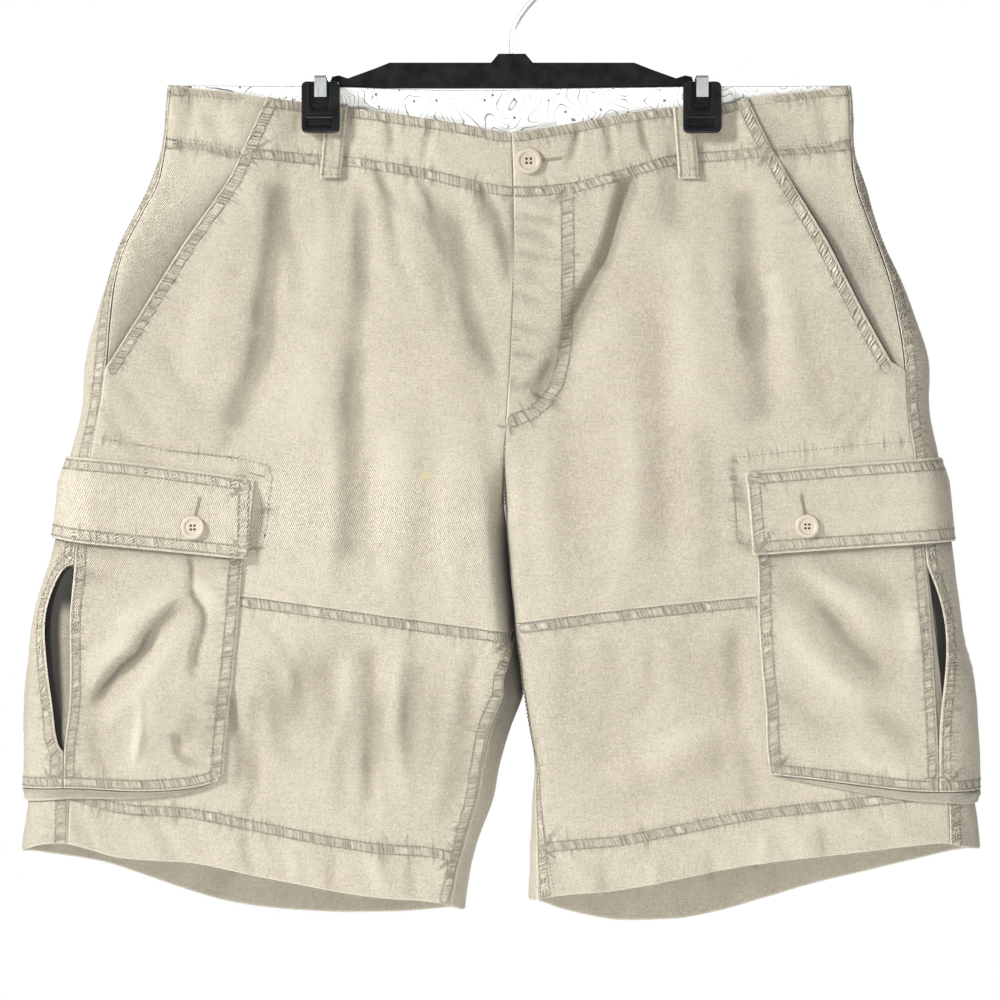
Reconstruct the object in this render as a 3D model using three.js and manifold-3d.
// Cargo shorts of washed cotton twill, hung from a plain black clip hanger.
// Millimetres. +Z up, +X to the viewer's right, the front faces -Y.
// The origin is the inside of the hanger hook's crown, where a rail carries it.
import * as THREE from 'three';
import { mergeVertices } from 'three/addons/utils/BufferGeometryUtils.js';
import Module from 'manifold-3d';

// Cloth
const CLOTH = 1.2;
const DOUBLE_CLOTH = 2.4;
const BACK_CASING = 1.6;
const LINING = 1.0;
const SEAM_GAP = 0.3;
const OVERLAY_GAP = 0.6;
const CASING_DEEP = 41;
const HEM_DEEP = 33;
const CLOTH_MID_Y = -9;

// Body
const CROTCH_Z = -378;
const FORK_TOP_Z = -330;
const CLIP_X = 127;
const CLIP_FLAT = 13.5;
const CLIP_SPREAD = 16;
const CLIP_HALF_DEPTH = 3.4;
const CLIP_PINCH_TOP_Z = -135;
const CLIP_PINCH_END_Z = -235;
const SIDE_ROUND = 0.95;
const FORK_ROUND_LEFT = 17;
const FORK_ROUND_RIGHT = 9;
const THIGH_LAP = 8;
const THIGH_LAP_TOP_Z = -380;
const THIGH_LAP_END_Z = -488;
const THIGH_LAP_IN = 14;
const THIGH_LAP_OUT = 45;
const POCKET_MOUTH_END_Z = -286;
const FACING_LAP = 18;
const FACING_LAP_TOP = 6;

// Small pieces
const LOOP_HALF_WIDTH = 7.2;
const LOOP_CLOTH = 1.8;
const LOOP_GAP = 1.1;
const LOOP_ARCH = 0.7;
const LOOP_LONG = 49;
const FLY_WIDE = 40;
const FLY_END_Z = -318;
const FLY_LIFT = 1.1;
const FLY_FADE = 40;
const POCKET_TOP_Z = -374;
const POCKET_GAP = 0.9;
const POCKET_FULL = 3;
const POCKET_ROUND_BACK = 74;
const GUSSET_DROP = 8;
const FLAP_CLOTH = 1.8;
const FLAP_STAND = 3.3;
const FLAP_PAST_POCKET = 3;
const WAIST_BUTTON = { across: 18, deep: 2.6, holes: 1.0, holeRing: 2.5 };
const FLAP_BUTTON = { across: 16, deep: 2.4, holes: 0.9, holeRing: 2.2 };

// Hanger
const HOOK_WIRE = 3.5;
const HOOK_INNER_RADIUS = 20;
const BAR_THICK = 4.5;
const BAR_TOP_Z = -82;
const BAR_BOTTOM_Z = -99;
const JAW_WIDE = 25.4;
const JAW_TOP_Z = -95;
const JAW_BOTTOM_Z = -132;
const SPRING_WIDE = 8;
const SPRING_THICK = 0.9;
const SPRING_TOP_Z = -92.6;

// Outer edges of each side and the side seams that show on the front, by height
const SIDES = [
  { z: -96, outL: -230, outR: 226, seamL: -228.5, seamR: 224.5, front: 8, back: 5 },
  { z: -120, outL: -232, outR: 228.5, seamL: -230, seamR: 226.5, front: 8.5, back: 5.5 },
  { z: -143, outL: -234.5, outR: 228.5, seamL: -232, seamR: 226.5, front: 9.5, back: 7.5 },
  { z: -165, outL: -242, outR: 236.5, seamL: -236, seamR: 229, front: 12, back: 11 },
  { z: -185, outL: -252, outR: 242, seamL: -247, seamR: 236, front: 13.5, back: 13.5 },
  { z: -205, outL: -262, outR: 249, seamL: -257, seamR: 244, front: 15, back: 15.5 },
  { z: -228, outL: -270, outR: 260, seamL: -264, seamR: 251, front: 16.5, back: 17 },
  { z: -252, outL: -277.5, outR: 269, seamL: -267, seamR: 256, front: 17.5, back: 18.5 },
  { z: -282, outL: -285, outR: 278.5, seamL: -269, seamR: 260.5, front: 19, back: 20 },
  { z: -316, outL: -287.5, outR: 279, seamL: -273.5, seamR: 262.5, front: 20.5, back: 21.5 },
  { z: -350, outL: -296, outR: 285.5, seamL: -280.5, seamR: 267, front: 22, back: 23 },
  { z: -391, outL: -301, outR: 290, seamL: -284, seamR: 272, front: 23, back: 24 },
  { z: -415, outL: -305.5, outR: 292.5, seamL: -286, seamR: 275, front: 23.5, back: 24.5 },
  { z: -440, outL: -312, outR: 294.5, seamL: -288, seamR: 278, front: 24, back: 25 },
  { z: -468, outL: -317, outR: 297.5, seamL: -290, seamR: 281, front: 24.5, back: 25.5 },
  { z: -495, outL: -319, outR: 304, seamL: -291.5, seamR: 284, front: 25, back: 26 },
  { z: -540, outL: -321, outR: 307.5, seamL: -292.5, seamR: 287, front: 25.5, back: 27 },
  { z: -572, outL: -322.5, outR: 308.5, seamL: -293, seamR: 289, front: 26, back: 27.5 },
  { z: -608, outL: -328, outR: 313, seamL: -294, seamR: 290, front: 26, back: 28 },
  { z: -665, outL: -331, outR: 315, seamL: -295, seamR: 291, front: 26, back: 28 },
];

// Centre front above the fork, and the inner edge of each leg below it
const INNER = [
  { z: -96, left: -2.5, right: -2.5 },
  { z: -150, left: 0.5, right: 0.5 },
  { z: -200, left: 1, right: 1 },
  { z: -260, left: -0.5, right: -0.5 },
  { z: -316, left: -3.5, right: -3.5 },
  { z: -350, left: -5.2, right: -5.2 },
  { z: -378, left: -5, right: -4.4 },
  { z: -395, left: -3, right: -3.1 },
  { z: -440, left: 1, right: 0.6 },
  { z: -464, left: 3, right: 2.6 },
  { z: -485, left: 5.8, right: 5.4 },
  { z: -500, left: 7.1, right: 6.9 },
  { z: -506, left: 7.3, right: 8.2 },
  { z: -526, left: -0.5, right: 11.4 },
  { z: -552, left: -8, right: 15.2 },
  { z: -575, left: -12.5, right: 13.8 },
  { z: -608, left: -24.5, right: 12.6 },
  { z: -640, left: -30.5, right: 10.7 },
  { z: -665, left: -34, right: 10.7 },
];

// Edges that run across the shorts, as height over x
const FRONT_WAIST = [
  { x: -240, z: -97.5 }, { x: -189, z: -102.5 }, { x: -163, z: -106.5 }, { x: -112, z: -112.6 },
  { x: -62, z: -120 }, { x: -28, z: -125.3 }, { x: -3, z: -129.8 }, { x: 32, z: -125.3 },
  { x: 72, z: -118 }, { x: 104, z: -113.2 }, { x: 141, z: -110.6 }, { x: 157, z: -106.5 },
  { x: 193, z: -102.5 }, { x: 235, z: -97.5 },
];
const BACK_WAIST = [
  { x: -240, z: -97.5 }, { x: -127, z: -98.5 }, { x: -30, z: -101 }, { x: 40, z: -99.5 },
  { x: 127, z: -98.5 }, { x: 235, z: -97.5 },
];
const FRONT_HEM = {
  left: [
    { x: -331, z: -608.8 }, { x: -312, z: -603.2 }, { x: -293, z: -603 }, { x: -260, z: -611.7 },
    { x: -210, z: -615.7 }, { x: -167, z: -624.4 }, { x: -120, z: -633.8 }, { x: -88, z: -638.5 },
    { x: -48, z: -642 }, { x: -30, z: -648.6 },
  ],
  right: [
    { x: 9, z: -641.5 }, { x: 30, z: -637 }, { x: 68, z: -633.8 }, { x: 112, z: -625.8 },
    { x: 156, z: -617 }, { x: 223, z: -609 }, { x: 257, z: -605 }, { x: 286, z: -602.3 },
    { x: 299, z: -605 }, { x: 315, z: -607.4 },
  ],
};
const BACK_HEM = {
  left: [
    { x: -331, z: -608.8 }, { x: -309, z: -613.7 }, { x: -276, z: -619 }, { x: -245, z: -629 },
    { x: -210, z: -641 }, { x: -172, z: -649 }, { x: -120, z: -653 }, { x: -76, z: -652.6 },
    { x: -30, z: -648.6 },
  ],
  right: [
    { x: 9, z: -641.5 }, { x: 34, z: -651 }, { x: 68, z: -658 }, { x: 90, z: -658.6 },
    { x: 123, z: -656 }, { x: 167, z: -644.5 }, { x: 201, z: -634.5 }, { x: 245, z: -623.8 },
    { x: 279, z: -615.7 }, { x: 315, z: -607.4 },
  ],
};
const THIGH_SEAM = {
  left: [{ x: -300, z: -427 }, { x: -180, z: -439 }, { x: -100, z: -450 }, { x: 10, z: -465 }],
  right: [{ x: -5, z: -458 }, { x: 74, z: -448 }, { x: 163, z: -439 }, { x: 300, z: -427 }],
};

// The slanted hip pocket mouths, as x over height
const MOUTH = [
  { z: -96, left: -159, right: 152 },
  { z: -106.5, left: -163.5, right: 157 },
  { z: -134, left: -176, right: 170 },
  { z: -162, left: -189, right: 185.5 },
  { z: -203, left: -217, right: 209.5 },
  { z: -231, left: -234.5, right: 223.5 },
  { z: -258, left: -251, right: 237.5 },
  { z: -286, left: -268.5, right: 253 },
];

// Cargo pocket's front edge and the front lip of the hand slit, as x over height
const CARGO = [
  { z: -346, frontL: -172, frontR: 156.5, slitL: -286, slitR: 268 },
  { z: -418, frontL: -178.5, frontR: 162.5, slitL: -289, slitR: 273.5 },
  { z: -452, frontL: -181, frontR: 163, slitL: -292, slitR: 276 },
  { z: -486, frontL: -184, frontR: 165, slitL: -292, slitR: 278.5 },
  { z: -512, frontL: -187, frontR: 167.5, slitL: -292.6, slitR: 280 },
  { z: -540, frontL: -189.5, frontR: 168.5, slitL: -295.8, slitR: 281.4 },
  { z: -580, frontL: -193, frontR: 174, slitL: -296, slitR: 281.6 },
];
const SLIT = { topZ: -418, bottomZ: -541, left: 14, right: 7.5 };
const FLAP_TOP = {
  left: [{ x: -330, z: -342 }, { x: -296, z: -346 }, { x: -253, z: -350 }, { x: -170, z: -361 }],
  right: [{ x: 150, z: -357 }, { x: 216, z: -351.5 }, { x: 286, z: -346.5 }, { x: 330, z: -343 }],
};
const FLAP_BOTTOM = {
  left: [
    { x: -330, z: -398 }, { x: -307, z: -400 }, { x: -288, z: -403.3 }, { x: -221, z: -410 }, { x: -181, z: -414 },
  ],
  right: [
    { x: 165, z: -411.4 }, { x: 203, z: -408.7 }, { x: 260, z: -405 }, { x: 296, z: -402.5 }, { x: 330, z: -401 },
  ],
};
const POCKET_BOTTOM = {
  left: [
    { x: -335, z: -567.5 }, { x: -294, z: -565.5 }, { x: -246, z: -567.5 }, { x: -213, z: -565.5 },
    { x: -190, z: -560 },
  ],
  right: [
    { x: 170, z: -556.5 }, { x: 202, z: -560 }, { x: 234, z: -564 }, { x: 267, z: -567.5 }, { x: 320, z: -568 },
  ],
};

// The largest folds: a soft trough (deep > 0) or ridge (deep < 0) along a straight run
const FRONT_FOLDS = [
  { x0: -153, z0: -160, x1: -166, z1: -265, wide: 9, deep: 4.5 },
  { x0: -166, z0: -265, x1: -187, z1: -330, wide: 11, deep: 4 },
  { x0: -96, z0: -170, x1: -105, z1: -300, wide: 8, deep: 3 },
  { x0: -105, z0: -300, x1: -109, z1: -420, wide: 10, deep: 3.6 },
  { x0: -55, z0: -165, x1: -21, z1: -290, wide: 8, deep: 2.2 },
  { x0: -130, z0: -200, x1: -138, z1: -330, wide: 14, deep: -2.2 },
  { x0: -75, z0: -320, x1: -80, z1: -440, wide: 14, deep: -2.4 },
  { x0: -92, z0: -468, x1: -92, z1: -560, wide: 9, deep: 2.6 },
  { x0: -150, z0: -520, x1: -105, z1: -462, wide: 9, deep: 2.4 },
  { x0: -64, z0: -480, x1: -73, z1: -540, wide: 8, deep: 2 },
  { x0: 80, z0: -158, x1: 58, z1: -222, wide: 8, deep: 4.5 },
  { x0: 58, z0: -222, x1: 14, z1: -314, wide: 9, deep: 3.6 },
  { x0: 154, z0: -165, x1: 158, z1: -250, wide: 11, deep: 3.8 },
  { x0: 158, z0: -250, x1: 168, z1: -325, wide: 12, deep: 3 },
  { x0: 97, z0: -240, x1: 99, z1: -420, wide: 12, deep: 2.4 },
  { x0: 115, z0: -180, x1: 124, z1: -330, wide: 15, deep: -2.2 },
  { x0: 66, z0: -465, x1: 60, z1: -555, wide: 9, deep: 2.4 },
  { x0: 125, z0: -470, x1: 140, z1: -560, wide: 12, deep: 1.8 },
];
const BACK_FOLDS = [
  { x0: -144, z0: -176, x1: -158, z1: -280, wide: 11, deep: 4 },
  { x0: -78, z0: -172, x1: -60, z1: -290, wide: 10, deep: 3.4 },
  { x0: -110, z0: -300, x1: -118, z1: -430, wide: 12, deep: 3.2 },
  { x0: -150, z0: -470, x1: -120, z1: -590, wide: 11, deep: 2.8 },
  { x0: -60, z0: -450, x1: -70, z1: -600, wide: 10, deep: 2.4 },
  { x0: -30, z0: -300, x1: -120, z1: -345, wide: 11, deep: 2.6 },
  { x0: 140, z0: -178, x1: 150, z1: -300, wide: 11, deep: 4.2 },
  { x0: 72, z0: -170, x1: 62, z1: -270, wide: 10, deep: 3 },
  { x0: 105, z0: -290, x1: 112, z1: -425, wide: 12, deep: 3.4 },
  { x0: 150, z0: -460, x1: 125, z1: -585, wide: 11, deep: 2.6 },
  { x0: 62, z0: -455, x1: 74, z1: -610, wide: 10, deep: 2.6 },
  { x0: 25, z0: -310, x1: 105, z1: -350, wide: 11, deep: 2.4 },
];

// Smooth reading of a table: cubic between rows, level beyond its ends
function read(table, at, key, value) {
  const last = table.length - 1;
  const rising = table[last][key] > table[0][key];
  const place = (row) => (rising ? row[key] : -row[key]);
  const target = rising ? at : -at;
  if (target <= place(table[0])) return table[0][value];
  if (target >= place(table[last])) return table[last][value];
  let i = 0;
  while (place(table[i + 1]) < target) i += 1;
  const slope = (k) => {
    const before = table[Math.max(k - 1, 0)];
    const after = table[Math.min(k + 1, last)];
    return (after[value] - before[value]) / (place(after) - place(before));
  };
  const span = place(table[i + 1]) - place(table[i]);
  const t = (target - place(table[i])) / span;
  const s = t * t;
  const c = s * t;
  return (2 * c - 3 * s + 1) * table[i][value] + (c - 2 * s + t) * span * slope(i)
    + (3 * s - 2 * c) * table[i + 1][value] + (c - s) * span * slope(i + 1);
}

const lerp = (a, b, t) => a + (b - a) * t;
const clamp01 = (t) => Math.min(Math.max(t, 0), 1);
const smooth = (t) => clamp01(t) * clamp01(t) * (3 - 2 * clamp01(t));

const outEdge = (side, z) => read(SIDES, z, 'z', side === 'left' ? 'outL' : 'outR');
const sideSeam = (side, z) => read(SIDES, z, 'z', side === 'left' ? 'seamL' : 'seamR');
const innerEdge = (side, z) => read(INNER, z, 'z', side);
const mouthEdge = (side, z) => read(MOUTH, z, 'z', side);
const cargoEdge = (side, z, name) => read(CARGO, z, 'z', name + (side === 'left' ? 'L' : 'R'));

// Depth of folds at a point of the front or back
function foldDepth(folds, x, z) {
  let depth = 0;
  for (const fold of folds) {
    const runX = fold.x1 - fold.x0;
    const runZ = fold.z1 - fold.z0;
    const along = ((x - fold.x0) * runX + (z - fold.z0) * runZ) / (runX * runX + runZ * runZ);
    const t = clamp01(along);
    const away = Math.hypot(x - fold.x0 - t * runX, z - fold.z0 - t * runZ);
    const taper = smooth(Math.min(t, 1 - t) * 5 + 0.35);
    depth += fold.deep * taper * Math.exp(-((away / fold.wide) ** 2));
  }
  return depth;
}

// How far the two jaws press the waist together
function clipPinch(x, z) {
  const beyond = Math.max(Math.abs(Math.abs(x) - CLIP_X) - CLIP_FLAT, 0);
  const across = Math.exp(-((beyond / CLIP_SPREAD) ** 2));
  const down = 1 - smooth((CLIP_PINCH_TOP_Z - z) / (CLIP_PINCH_TOP_Z - CLIP_PINCH_END_Z));
  return across * down;
}

// One leg and its half of the body is a flattened ring at each height. Around the
// ring, w runs 0 to 1 over the front from the inner edge to the outer edge, and 1 to
// 2 over the back. FORK_PART and SIDE_PART are the rounded shares of each face.
const FORK_PART = 0.1;
const SIDE_PART = 0.9;

// Below the fork the right leg's inner edge lies in front of the left one's
function thighLap(side, z) {
  const from = smooth((THIGH_LAP_TOP_Z - z) / THIGH_LAP_IN);
  const until = 1 - smooth((THIGH_LAP_END_Z - z) / THIGH_LAP_OUT);
  return (side === 'left' ? THIGH_LAP : -THIGH_LAP) * from * until;
}

function ring(side, z) {
  const inner = innerEdge(side, z);
  const outer = outEdge(side, z);
  const sign = side === 'left' ? -1 : 1;
  const front = read(SIDES, z, 'z', 'front');
  const fork = side === 'left' ? FORK_ROUND_LEFT : FORK_ROUND_RIGHT;
  const closed = smooth((FORK_TOP_Z - z) / (FORK_TOP_Z - CROTCH_Z));
  const back = read(SIDES, z, 'z', 'back');
  return { inner, outer, sign, fork, closed, round: front * SIDE_ROUND, front, back };
}

function ringX(r, w) {
  const forkEnd = r.inner + r.sign * r.fork;
  const sideStart = r.outer - r.sign * r.round;
  if (w < FORK_PART) return r.inner + r.sign * r.fork * (1 - Math.cos((w / FORK_PART) * Math.PI / 2));
  const turned = (w - SIDE_PART) / (1 - SIDE_PART);
  if (turned > 0) return sideStart + r.sign * r.round * Math.sin(turned * Math.PI / 2);
  return lerp(forkEnd, sideStart, (w - FORK_PART) / (SIDE_PART - FORK_PART));
}

// Where a front x lies around its ring
function ringPlace(side, x, z) {
  const r = ring(side, z);
  const fromInner = (x - r.inner) * r.sign;
  const fromOuter = (r.outer - x) * r.sign;
  if (fromInner < r.fork) return FORK_PART * Math.acos(clamp01(1 - fromInner / r.fork)) / (Math.PI / 2);
  if (fromOuter < r.round) {
    return SIDE_PART + (1 - SIDE_PART) * Math.asin(clamp01(1 - fromOuter / r.round)) / (Math.PI / 2);
  }
  const flat = (r.outer - r.inner) * r.sign - r.fork - r.round;
  return FORK_PART + (SIDE_PART - FORK_PART) * (fromInner - r.fork) / flat;
}

function surface(side, around, z) {
  let w = around;
  if (w < 0) w += 2;
  if (w > 2) w -= 2;
  const onFront = w <= 1;
  const face = onFront ? w : 2 - w;
  const r = ring(side, z);
  const x = ringX(r, face);
  const forkShare = clamp01((x - r.inner) * r.sign / r.fork);
  const sideShare = clamp01((r.outer - x) * r.sign / r.round);
  const rounding = Math.sqrt(Math.max(1 - r.closed * (1 - forkShare) ** 2, 0))
    * Math.sqrt(Math.max(1 - (1 - sideShare) ** 2, 0));
  const full = onFront ? r.front : r.back;
  const pressed = lerp(full, CLIP_HALF_DEPTH, clipPinch(x, z));
  const fold = foldDepth(onFront ? FRONT_FOLDS : BACK_FOLDS, x, z);
  let depth = (pressed - fold) * rounding;
  if (onFront && side === 'right' && z > FLY_END_Z - FLY_FADE / 2) {
    const fly = smooth(1 - (x - r.inner) / FLY_WIDE) * smooth((z - FLY_END_Z) / FLY_FADE + 0.5);
    depth += FLY_LIFT * fly;
  }
  const lap = thighLap(side, z) * (1 - forkShare) ** 2;
  return new THREE.Vector3(x, CLOTH_MID_Y + lap + (onFront ? -depth : depth), z);
}

function normalAt(side, w, z) {
  const stepW = 0.004;
  const stepZ = 1.5;
  const open = z > CROTCH_Z;
  const next = open ? Math.min(w + stepW, 2) : w + stepW;
  const previous = open ? Math.max(w - stepW, 0) : w - stepW;
  const alongW = surface(side, next, z).sub(surface(side, previous, z));
  const alongZ = surface(side, w, z + stepZ).sub(surface(side, w, z - stepZ));
  const normal = alongW.cross(alongZ).normalize();
  return side === 'left' ? normal.negate() : normal;
}

// A wall of cloth over a patch of the body. place(a, b) gives where each corner of
// its grid lies: side, w, z, out (distance off the body) and wall (thickness).
function clothWall(columns, rows, place) {
  const outside = [];
  const inside = [];
  for (let j = 0; j <= rows; j += 1) {
    for (let i = 0; i <= columns; i += 1) {
      const p = place(i / columns, j / rows);
      const normal = normalAt(p.side, p.w, p.z);
      const outer = surface(p.side, p.w, p.z).addScaledVector(normal, p.out);
      outside.push(outer);
      inside.push(outer.clone().addScaledVector(normal, -p.wall));
    }
  }
  return wallFromGrids(outside, inside, columns, rows);
}

function wallFromGrids(outside, inside, columns, rows) {
  const positions = [...outside, ...inside].flatMap((v) => [v.x, v.y, v.z]);
  const count = outside.length;
  const at = (i, j) => j * (columns + 1) + i;
  const index = [];
  const quad = (a, b, c, d) => index.push(a, b, c, a, c, d);
  for (let j = 0; j < rows; j += 1) {
    for (let i = 0; i < columns; i += 1) {
      quad(at(i, j), at(i, j + 1), at(i + 1, j + 1), at(i + 1, j));
      quad(count + at(i, j), count + at(i + 1, j), count + at(i + 1, j + 1), count + at(i, j + 1));
    }
  }
  for (let i = 0; i < columns; i += 1) {
    quad(at(i + 1, 0), count + at(i + 1, 0), count + at(i, 0), at(i, 0));
    quad(at(i, rows), count + at(i, rows), count + at(i + 1, rows), at(i + 1, rows));
  }
  for (let j = 0; j < rows; j += 1) {
    quad(at(0, j), count + at(0, j), count + at(0, j + 1), at(0, j + 1));
    quad(at(columns, j + 1), count + at(columns, j + 1), count + at(columns, j), at(columns, j));
  }
  const geometry = new THREE.BufferGeometry();
  geometry.setAttribute('position', new THREE.Float32BufferAttribute(positions, 3));
  geometry.setIndex(index);
  return outwards(geometry);
}

// Turns a closed shape's faces round if they point in
function outwards(geometry) {
  const p = geometry.getAttribute('position');
  const index = geometry.getIndex();
  let volume = 0;
  const [a, b, c] = [new THREE.Vector3(), new THREE.Vector3(), new THREE.Vector3()];
  for (let i = 0; i < index.count; i += 3) {
    a.fromBufferAttribute(p, index.getX(i));
    b.fromBufferAttribute(p, index.getX(i + 1));
    c.fromBufferAttribute(p, index.getX(i + 2));
    volume += a.dot(b.cross(c));
  }
  if (volume < 0) {
    for (let i = 0; i < index.count; i += 3) {
      const second = index.getX(i + 1);
      index.setX(i + 1, index.getX(i + 2));
      index.setX(i + 2, second);
    }
  }
  geometry.computeVertexNormals();
  return geometry;
}

// A patch between two x edges and two z edges of the front, settled where they cross
function frontPatch(side, a, b, xEdges, zEdges) {
  let z = lerp(zEdges[0](0), zEdges[1](0), b);
  let x = 0;
  for (let pass = 0; pass < 12; pass += 1) {
    x = lerp(xEdges[0](z), xEdges[1](z), a);
    z = lerp(zEdges[0](x), zEdges[1](x), b);
  }
  return { w: ringPlace(side, x, z), x, z };
}

const twill = () => new THREE.MeshStandardMaterial({ color: 0xcfc4ac, roughness: 0.9, metalness: 0 });
const linen = () => new THREE.MeshStandardMaterial({ color: 0xf3f2ec, roughness: 0.9, metalness: 0 });
const resin = () => new THREE.MeshStandardMaterial({ color: 0xd9c3a5, roughness: 0.4, metalness: 0 });
const blackPlastic = () => new THREE.MeshStandardMaterial({ color: 0x15181a, roughness: 0.35, metalness: 0 });
const steel = () => new THREE.MeshStandardMaterial({ color: 0xb9bdbd, roughness: 0.3, metalness: 1 });

const shorts = new THREE.Group();
function add(name, geometry, material) {
  const mesh = new THREE.Mesh(geometry, material);
  mesh.name = name;
  shorts.add(mesh);
  return mesh;
}

const frontWaist = (x) => read(FRONT_WAIST, x, 'x', 'z');
const backWaist = (x) => read(BACK_WAIST, x, 'x', 'z');
const casingWall = (z, top) => lerp(CLOTH, DOUBLE_CLOTH, smooth((z - top + CASING_DEEP + 3) / 4));
const sign = (side) => (side === 'left' ? -1 : 1);

// Rows of the body panels meet at the side seam and inseam
const UPPER_ROWS = 12;
const LOWER_ROWS = 6;
const upperShare = (k) => (k / UPPER_ROWS) ** 1.3;
function bodyHeight(row, top, seam, hem) {
  if (row <= UPPER_ROWS) return lerp(top, seam, upperShare(row));
  return lerp(seam, hem, (row - UPPER_ROWS) / LOWER_ROWS);
}

function frontUpper(side) {
  const s = sign(side);
  const outer = (z) => (z > POCKET_MOUTH_END_Z
    ? mouthEdge(side, z)
    : sideSeam(side, z)) - s * SEAM_GAP / 2;
  const inner = (z) => innerEdge(side, z) + s * SEAM_GAP / 2;
  const seam = (x) => read(THIGH_SEAM[side], x, 'x', 'z') + SEAM_GAP / 2;
  return clothWall(20, UPPER_ROWS, (a, b) => {
    const p = frontPatch(side, a, upperShare(b * UPPER_ROWS), [inner, outer], [frontWaist, seam]);
    const w = a === 0 ? Math.max(p.w, 0) : p.w;
    return { side, w, z: p.z, out: 0, wall: casingWall(p.z, frontWaist(p.x)) };
  });
}

function frontLower(side) {
  const s = sign(side);
  const outer = (z) => sideSeam(side, z) - s * SEAM_GAP / 2;
  const inner = (z) => innerEdge(side, z) + s * inseamShow(side, z) + s * SEAM_GAP / 2;
  const seam = (x) => read(THIGH_SEAM[side], x, 'x', 'z') - SEAM_GAP / 2;
  const hem = (x) => read(FRONT_HEM[side], x, 'x', 'z');
  return clothWall(18, LOWER_ROWS, (a, b) => {
    const p = frontPatch(side, a, b, [inner, outer], [seam, hem]);
    const wall = lerp(CLOTH, DOUBLE_CLOTH, smooth((hem(p.x) + HEM_DEEP + 2 - p.z) / 4));
    return { side, w: p.w, z: p.z, out: 0, wall };
  });
}

// How far the back panel shows past the inner edge of each leg, seen from the front
const INSEAM_SHOW = [
  { z: CROTCH_Z, left: 0, right: 0 },
  { z: -464, left: 0.3, right: 0 },
  { z: -476, left: 4, right: 0 },
  { z: -494, left: 11.5, right: 0 },
  { z: -521, left: 13.5, right: 0 },
  { z: -549, left: 12, right: 0.5 },
  { z: -584, left: 10.6, right: 3 },
  { z: -608, left: 8.5, right: 4.8 },
  { z: -641, left: 10, right: 6.6 },
  { z: -665, left: 10, right: 7.6 },
];
const inseamShow = (side, z) => read(INSEAM_SHOW, z, 'z', side);

// Sets a third of a run's columns on the rounded side, the rest evenly over the flat
const ROUND_COLUMNS = 0.36;
function roundCrowded(start, end, a) {
  const roundEnd = Math.min(2 - SIDE_PART, end);
  if (a < ROUND_COLUMNS) return lerp(start, roundEnd, a / ROUND_COLUMNS);
  return lerp(roundEnd, end, (a - ROUND_COLUMNS) / (1 - ROUND_COLUMNS));
}

// The back runs from the side seam, round the outer edge, to the centre back or,
// below the fork, round the inner edge to the inseam
function backPanel(side) {
  const s = sign(side);
  const rows = UPPER_ROWS + LOWER_ROWS;
  return clothWall(30, rows, (a, b) => {
    let z = lerp(-98, -640, b);
    let w = 1;
    for (let pass = 0; pass < 12; pass += 1) {
      const seam = sideSeam(side, z) + s * SEAM_GAP / 2;
      const start = ringPlace(side, seam, z);
      const r = ring(side, z);
      const show = innerEdge(side, z) + s * (inseamShow(side, z) - SEAM_GAP / 2);
      const below = z < CROTCH_Z ? ringPlace(side, show, z) : 0;
      const gapW = FORK_PART * Math.acos(1 - SEAM_GAP / 2 / r.fork) / (Math.PI / 2);
      const end = 2 + (inseamShow(side, z) > 0.3 ? below : -gapW);
      w = roundCrowded(start, end, a);
      const face = w <= 1 ? w : 2 - w;
      const x = ringX(r, clamp01(Math.abs(face)));
      const top = w <= 1 ? frontWaist(x) : backWaist(x);
      const onFront = w <= 1 || w > 2;
      const hem = read((onFront ? FRONT_HEM : BACK_HEM)[side], x, 'x', 'z');
      z = bodyHeight(b * rows, top, read(THIGH_SEAM[side], x, 'x', 'z'), hem);
    }
    const x = ringX(ring(side, z), clamp01(Math.abs(w <= 1 ? w : 2 - w)));
    const hem = read((w <= 1 || w > 2 ? FRONT_HEM : BACK_HEM)[side], x, 'x', 'z');
    const top = backWaist(x);
    const casing = lerp(CLOTH, BACK_CASING, smooth((z - top + CASING_DEEP + 3) / 4));
    const hemmed = lerp(CLOTH, DOUBLE_CLOTH, smooth((hem + HEM_DEEP + 2 - z) / 4));
    return { side, w, z, out: 0, wall: Math.max(casing, hemmed) };
  });
}

// The hip panel that shows in the slanted pocket mouth, lapped behind the front
function hipFacing(side) {
  const s = sign(side);
  const lap = (z) => lerp(FACING_LAP, FACING_LAP_TOP, smooth((z + 170) / 30));
  const inner = (z) => mouthEdge(side, z) - s * lap(z);
  const outer = (z) => sideSeam(side, z) - s * OVERLAY_GAP;
  const bottom = () => POCKET_MOUTH_END_Z - 6;
  return clothWall(6, 10, (a, b) => {
    const p = frontPatch(side, a, b, [inner, outer], [frontWaist, bottom]);
    const front = casingWall(p.z, frontWaist(p.x));
    return { side, w: p.w, z: p.z, out: -front - OVERLAY_GAP, wall: CLOTH };
  });
}

// The printed lining inside the back waist
function waistLining() {
  const columns = 40;
  const rows = 2;
  const reach = 214;
  return clothWall(columns, rows, (a, b) => {
    const x = lerp(-reach, reach, a);
    const top = backWaist(x) - 0.6;
    const z = lerp(top, top - CASING_DEEP, b);
    const side = x < innerEdge('left', z) ? 'left' : 'right';
    return { side, w: 2 - ringPlace(side, x, z), z, out: -BACK_CASING - OVERLAY_GAP, wall: LINING };
  });
}

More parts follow.
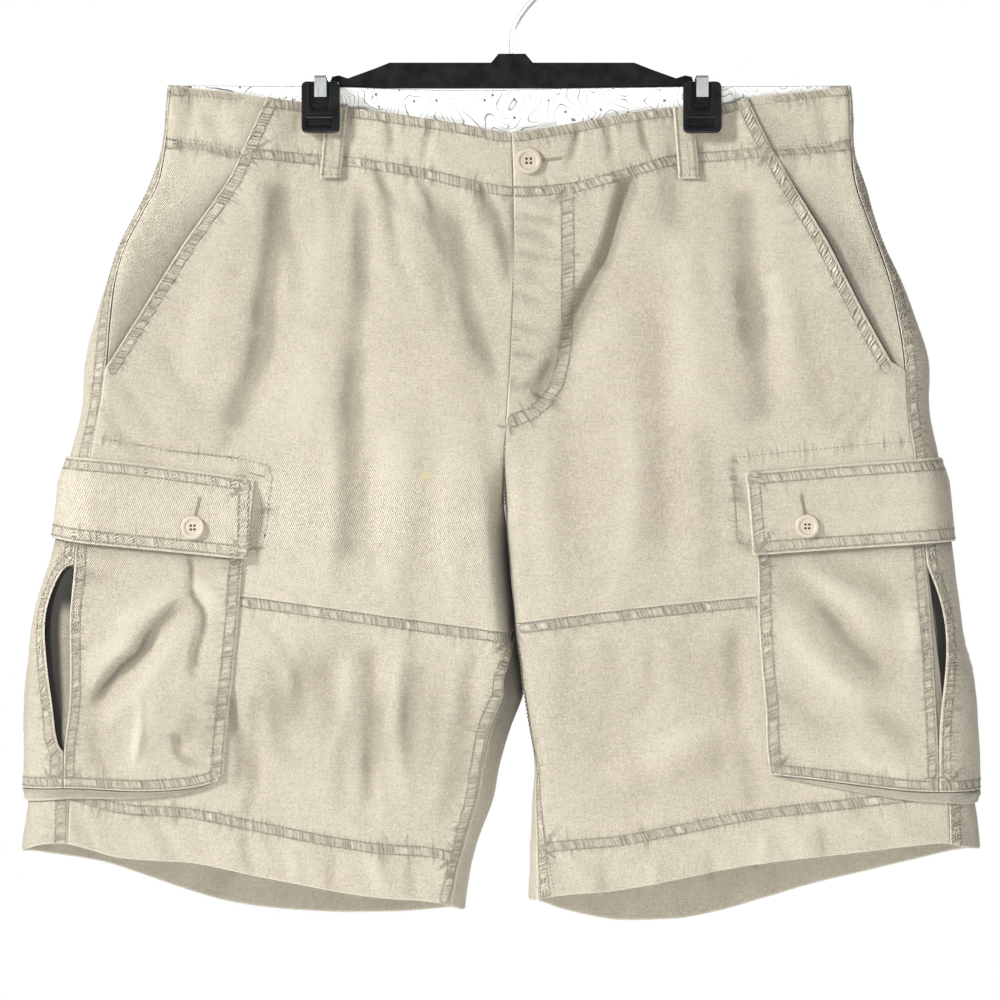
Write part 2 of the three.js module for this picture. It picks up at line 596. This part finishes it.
// The under layer of the fly, which carries the waist button
function flyShield() {
  return clothWall(6, 8, (a, b) => {
    const z = lerp(-131.5, FLY_END_Z, b);
    const x = innerEdge('right', z) + lerp(-9, FLY_WIDE - 4, a);
    const side = x < innerEdge('left', z) ? 'left' : 'right';
    const lift = side === 'left' ? 0 : FLY_LIFT * smooth(1 - (x - innerEdge('right', z)) / FLY_WIDE);
    return { side, w: ringPlace(side, x, z), z, out: -DOUBLE_CLOTH - OVERLAY_GAP - lift, wall: CLOTH };
  });
}

// Belt loops stand on the casing, a little arched off it
function beltLoop(face, topX, bottomX) {
  return clothWall(2, 6, (a, b) => {
    const across = lerp(-LOOP_HALF_WIDTH, LOOP_HALF_WIDTH, a);
    const x = lerp(topX, bottomX, b) + across;
    const side = x < innerEdge('left', -140) ? 'left' : 'right';
    const top = face === 'front' ? frontWaist(topX) : backWaist(topX);
    const z = lerp(top - 0.5, top - LOOP_LONG, b);
    const place = ringPlace(side, x, z);
    const out = LOOP_GAP + LOOP_ARCH * Math.sin(Math.PI * b) ** 2 + LOOP_CLOTH;
    return { side, w: face === 'front' ? place : 2 - place, z, out, wall: LOOP_CLOTH };
  });
}

// Cargo pocket: how far its cloth stands off the leg, by place and height
function pocketStand(side, w, z) {
  const front = ringPlace(side, cargoEdge(side, z, 'front'), z);
  const back = pocketBackEdge(side, z);
  const across = Math.sin(Math.PI * clamp01((w - front) / (back - front)));
  const down = smooth((POCKET_TOP_Z - 20 - z) / 70);
  return POCKET_GAP + POCKET_FULL * across ** 0.6 * down;
}

// Sets half of a run's columns on the rounded side, the rest over the two flats
const FRONT_SHARE = 0.28;
const BACK_SHARE = 0.22;
function roundRun(start, end, a) {
  const roundShare = 1 - FRONT_SHARE - BACK_SHARE;
  if (a < FRONT_SHARE) return lerp(start, SIDE_PART, a / FRONT_SHARE);
  if (a > 1 - BACK_SHARE) return lerp(2 - SIDE_PART, end, (a - 1 + BACK_SHARE) / BACK_SHARE);
  return lerp(SIDE_PART, 2 - SIDE_PART, (a - FRONT_SHARE) / roundShare);
}

function pocketBackEdge(side, z) {
  const x = outEdge(side, z) - sign(side) * POCKET_ROUND_BACK;
  return 2 - ringPlace(side, x, z);
}

function pocketBottom(side, w, z) {
  const x = ringX(ring(side, z), w <= 1 ? w : 2 - w);
  return read(POCKET_BOTTOM[side], x, 'x', 'z');
}

function pocketPart(side, columns, edges) {
  return clothWall(columns, 7, (a, b) => {
    let z = lerp(POCKET_TOP_Z, -565, b);
    let w = 1;
    for (let pass = 0; pass < 8; pass += 1) {
      w = lerp(edges[0](z), edges[1](z), a);
      z = lerp(POCKET_TOP_Z, pocketBottom(side, w, z), b);
    }
    return { side, w, z, out: pocketStand(side, w, z) + CLOTH, wall: CLOTH };
  });
}

const pocketFrontEdge = (side) => (z) => ringPlace(side, cargoEdge(side, z, 'front'), z);
const slitFront = (side) => (z) => ringPlace(side, cargoEdge(side, z, 'slit'), z);
function slitBack(side) {
  return (z) => {
    const t = clamp01((SLIT.topZ - z) / (SLIT.topZ - SLIT.bottomZ));
    const open = SLIT[side] * Math.sin(Math.PI * t ** 0.7) ** 0.6;
    return ringPlace(side, cargoEdge(side, z, 'slit') + sign(side) * (SEAM_GAP * 2 + open), z);
  };
}

// The gusset closes the pocket's bottom, from its lower edge in to the leg
function pocketGusset(side) {
  const columns = 18;
  const rows = 2;
  const outside = [];
  const inside = [];
  for (let j = 0; j <= rows; j += 1) {
    for (let i = 0; i <= columns; i += 1) {
      const a = i / columns;
      const b = j / rows;
      let z = -566;
      let w = 1;
      for (let pass = 0; pass < 8; pass += 1) {
        w = roundRun(pocketFrontEdge(side)(z) + 0.02, pocketBackEdge(side, z) - 0.02, a);
        z = pocketBottom(side, w, z) - OVERLAY_GAP;
      }
      const hang = GUSSET_DROP * Math.sin(Math.PI * a) ** 0.7 * b;
      const stand = pocketStand(side, w, z) + CLOTH;
      const out = lerp(stand, POCKET_GAP + CLOTH, b ** 1.5);
      const normal = normalAt(side, w, z - hang);
      const outer = surface(side, w, z - hang).addScaledVector(normal, out);
      outside.push(outer);
      inside.push(outer.clone().addScaledVector(normal, -CLOTH));
    }
  }
  return wallFromGrids(outside, inside, columns, rows);
}

function flap(side) {
  return clothWall(20, 4, (a, b) => {
    let z = lerp(-350, -405, b);
    let w = 1;
    for (let pass = 0; pass < 8; pass += 1) {
      const front = ringPlace(side, cargoEdge(side, z, 'front') - sign(side) * FLAP_PAST_POCKET, z);
      const back = pocketBackEdge(side, z) + 0.015;
      w = roundRun(front, back, a);
      const x = ringX(ring(side, z), w <= 1 ? w : 2 - w);
      z = lerp(read(FLAP_TOP[side], x, 'x', 'z'), read(FLAP_BOTTOM[side], x, 'x', 'z'), b);
    }
    const stand = lerp(OVERLAY_GAP, FLAP_STAND, smooth(b * 3));
    return { side, w, z, out: stand + FLAP_CLOTH, wall: FLAP_CLOTH };
  });
}

// A closed three.js shape as a solid that can be joined and cut, and back again
const wasm = await Module();
wasm.setup();
function toSolid(geometry) {
  const bare = geometry.clone();
  bare.deleteAttribute('normal');
  bare.deleteAttribute('uv');
  const merged = mergeVertices(bare, 1e-4);
  return new wasm.Manifold(new wasm.Mesh({
    numProp: 3,
    vertProperties: new Float32Array(merged.getAttribute('position').array),
    triVerts: new Uint32Array(merged.getIndex().array),
  }));
}
function toGeometry(solid) {
  const mesh = solid.getMesh();
  const geometry = new THREE.BufferGeometry();
  geometry.setAttribute('position', new THREE.BufferAttribute(new Float32Array(mesh.vertProperties), 3));
  geometry.setIndex([...mesh.triVerts]);
  geometry.computeVertexNormals();
  return geometry;
}

// A four-hole button, turned to face -Y
function button({ across, deep, holes, holeRing }) {
  const r = across / 2;
  const profile = [
    [0, 0], [r * 0.8, 0], [r, deep * 0.4], [r, deep * 0.75], [r * 0.9, deep], [r * 0.72, deep],
    [r * 0.6, deep * 0.72], [0, deep * 0.65],
  ].map(([x, y]) => new THREE.Vector2(x, y));
  let solid = toSolid(new THREE.LatheGeometry(profile, 18));
  for (let k = 0; k < 4; k += 1) {
    const angle = Math.PI / 4 + k * Math.PI / 2;
    const hole = new THREE.CylinderGeometry(holes, holes, deep * 3, 6);
    hole.translate(Math.cos(angle) * holeRing * 0.8, 0, Math.sin(angle) * holeRing * 0.8);
    solid = solid.subtract(toSolid(hole));
  }
  const geometry = toGeometry(solid);
  geometry.rotateX(Math.PI);
  return geometry;
}

function addButton(name, size, face, side, x, z, off) {
  const mesh = add(name, button(size), resin());
  const place = ringPlace(side, x, z);
  const w = face === 'front' ? place : 2 - place;
  const normal = normalAt(side, w, z);
  const turn = new THREE.Quaternion().setFromUnitVectors(new THREE.Vector3(0, -1, 0), normal);
  mesh.quaternion.copy(turn);
  mesh.position.copy(surface(side, w, z).addScaledVector(normal, off));
}

// The hanger's bar, cut to its outline and as thick as BAR_THICK
function hangerBar() {
  const half = [
    [0, BAR_TOP_Z + 6], [9, BAR_TOP_Z + 6], [14, BAR_TOP_Z], [82, BAR_TOP_Z], [92, BAR_TOP_Z - 4],
    [110, BAR_TOP_Z - 10.5], [116, BAR_TOP_Z - 8.5], [120.5, BAR_TOP_Z - 9.5], [122, BAR_TOP_Z - 14],
    [134, BAR_TOP_Z - 14], [134, JAW_BOTTOM_Z + 8], [120, JAW_BOTTOM_Z + 8], [118, BAR_BOTTOM_Z - 4],
    [108, BAR_BOTTOM_Z], [0, BAR_BOTTOM_Z],
  ];
  const mirrored = half.slice(1, -1).reverse().map(([x, z]) => [-x, z]);
  const shape = new THREE.Shape([...half, ...mirrored].map(([x, z]) => new THREE.Vector2(x, z)));
  const geometry = new THREE.ExtrudeGeometry(shape, { depth: BAR_THICK, bevelEnabled: false });
  geometry.rotateX(Math.PI / 2);
  geometry.translate(0, BAR_THICK / 2, 0);
  return geometry;
}

// The wire hook: a stem out of the bar, a bend, and most of a circle
function hangerHook() {
  const radius = HOOK_INNER_RADIUS + HOOK_WIRE / 2;
  const centreZ = -HOOK_INNER_RADIUS;
  const points = [
    new THREE.Vector3(0, 0, BAR_TOP_Z + 6 + SEAM_GAP),
    new THREE.Vector3(0, 0, -68),
    new THREE.Vector3(1.5, 0, -58),
    new THREE.Vector3(9, 0, -46),
    new THREE.Vector3(18, 0, -35),
  ];
  const turns = 9;
  for (let k = 0; k <= turns; k += 1) {
    const angle = lerp(-0.12, Math.PI + 0.45, k / turns);
    points.push(new THREE.Vector3(Math.cos(angle) * radius, 0, centreZ + Math.sin(angle) * radius));
  }
  const path = new THREE.CatmullRomCurve3(points);
  const section = new THREE.Shape();
  const sides = 8;
  for (let k = 0; k < sides; k += 1) {
    const angle = (k / sides) * Math.PI * 2;
    const at = [Math.cos(angle) * HOOK_WIRE / 2, Math.sin(angle) * HOOK_WIRE / 2];
    if (k === 0) section.moveTo(...at);
    else section.lineTo(...at);
  }
  section.closePath();
  return new THREE.ExtrudeGeometry(section, { steps: 34, bevelEnabled: false, extrudePath: path });
}

// Jaws are plates with rounded lower corners, thick along Y
function jaw(thick, lip) {
  const w = JAW_WIDE / 2;
  const h = JAW_TOP_Z - JAW_BOTTOM_Z;
  const shape = new THREE.Shape();
  shape.moveTo(-w + 3, 0);
  shape.lineTo(w - 3, 0);
  shape.quadraticCurveTo(w, 0, w, -4);
  shape.lineTo(w, -h + 7);
  shape.quadraticCurveTo(w, -h, w - 8, -h);
  shape.lineTo(-w + 8, -h);
  shape.quadraticCurveTo(-w, -h, -w, -h + 7);
  shape.lineTo(-w, -4);
  shape.quadraticCurveTo(-w, 0, -w + 3, 0);
  if (lip) {
    const slot = new THREE.Path();
    slot.moveTo(-w + 5, -h + 5.5);
    slot.lineTo(w - 5, -h + 5.5);
    slot.lineTo(w - 5, -h + 9.1);
    slot.lineTo(-w + 5, -h + 9.1);
    shape.holes.push(slot);
  }
  const geometry = new THREE.ExtrudeGeometry(shape, { depth: thick, bevelEnabled: false, curveSegments: 5 });
  geometry.rotateX(Math.PI / 2);
  return geometry;
}

// The steel spring bridges the front jaw, the rear jaw and the bar
function clipSpring(frontY, backY, topZ, frontZ, backZ) {
  const t = SPRING_THICK;
  const outline = [
    [frontY - t, frontZ], [frontY - t, topZ - 1.6], [frontY - t + 1.6, topZ], [backY + t - 1.6, topZ],
    [backY + t, topZ - 1.6], [backY + t, backZ], [backY, backZ], [backY, topZ - t - 0.4],
    [backY - 0.4, topZ - t], [frontY + 0.4, topZ - t], [frontY, topZ - t - 0.4], [frontY, frontZ],
  ];
  const shape = new THREE.Shape(outline.map(([y, z]) => new THREE.Vector2(y, z)));
  const geometry = new THREE.ExtrudeGeometry(shape, { depth: SPRING_WIDE, bevelEnabled: false });
  geometry.rotateY(Math.PI / 2);
  geometry.rotateX(Math.PI / 2);
  geometry.translate(-SPRING_WIDE / 2, 0, 0);
  return geometry;
}

for (const side of ['left', 'right']) {
  add(`front_upper_${side}`, frontUpper(side), twill());
  add(`front_lower_${side}`, frontLower(side), twill());
  add(`back_${side}`, backPanel(side), twill());
  add(`hip_facing_${side}`, hipFacing(side), twill());
  add(`cargo_pocket_front_${side}`, pocketPart(side, 10, [pocketFrontEdge(side), slitFront(side)]), twill());
  const backPart = pocketPart(side, 12, [slitBack(side), (z) => pocketBackEdge(side, z)]);
  add(`cargo_pocket_back_${side}`, backPart, twill());
  add(`cargo_gusset_${side}`, pocketGusset(side), twill());
  add(`cargo_flap_${side}`, flap(side), twill());
}
add('waist_lining', waistLining(), linen());
add('fly_shield', flyShield(), twill());

const LOOPS = [
  { name: 'belt_loop_front_left', face: 'front', topX: -116.5, bottomX: -121 },
  { name: 'belt_loop_front_right', face: 'front', topX: 114, bottomX: 118 },
  { name: 'belt_loop_back_left', face: 'back', topX: -158, bottomX: -158 },
  { name: 'belt_loop_back_centre', face: 'back', topX: -1, bottomX: -1 },
  { name: 'belt_loop_back_right', face: 'back', topX: 158, bottomX: 158 },
];
for (const loop of LOOPS) add(loop.name, beltLoop(loop.face, loop.topX, loop.bottomX), twill());

const FLAP_BUTTON_OFF = FLAP_STAND + FLAP_CLOTH + SEAM_GAP;
addButton('button_waist', WAIST_BUTTON, 'front', 'right', 11, -149.7, SEAM_GAP);
addButton('button_flap_left', FLAP_BUTTON, 'front', 'left', -211, -393.3, FLAP_BUTTON_OFF);
addButton('button_flap_right', FLAP_BUTTON, 'front', 'right', 195, -392.6, FLAP_BUTTON_OFF);
addButton('button_flap_rear_left', FLAP_BUTTON, 'back', 'left', -246, -393, FLAP_BUTTON_OFF);
addButton('button_flap_rear_right', FLAP_BUTTON, 'back', 'right', 234, -393, FLAP_BUTTON_OFF);

add('hanger_bar', hangerBar(), blackPlastic());
add('hanger_hook', hangerHook(), steel());

const JAW_BACK_Y = CLOTH_MID_Y - CLIP_HALF_DEPTH - LOOP_GAP - LOOP_ARCH - LOOP_CLOTH - SEAM_GAP;
const JAW_THICK = 5;
const REAR_JAW_FRONT_Y = CLOTH_MID_Y + CLIP_HALF_DEPTH + SEAM_GAP;
const REAR_JAW_THICK = -BAR_THICK / 2 - SEAM_GAP - REAR_JAW_FRONT_Y;
for (const [name, x] of [['left', -CLIP_X - 0.4], ['right', CLIP_X - 0.4]]) {
  add(`clip_jaw_front_${name}`, jaw(JAW_THICK, true), blackPlastic()).position.set(x, JAW_BACK_Y, JAW_TOP_Z);
  add(`clip_jaw_rear_${name}`, jaw(REAR_JAW_THICK, false), blackPlastic())
    .position.set(x, REAR_JAW_FRONT_Y + REAR_JAW_THICK, JAW_TOP_Z);
  const spring = clipSpring(
    JAW_BACK_Y - JAW_THICK - SEAM_GAP, BAR_THICK / 2 + SEAM_GAP, SPRING_TOP_Z, JAW_TOP_Z - 12, JAW_TOP_Z - 18,
  );
  add(`clip_spring_${name}`, spring, steel()).position.set(x, 0, 0);
}

export default shorts;
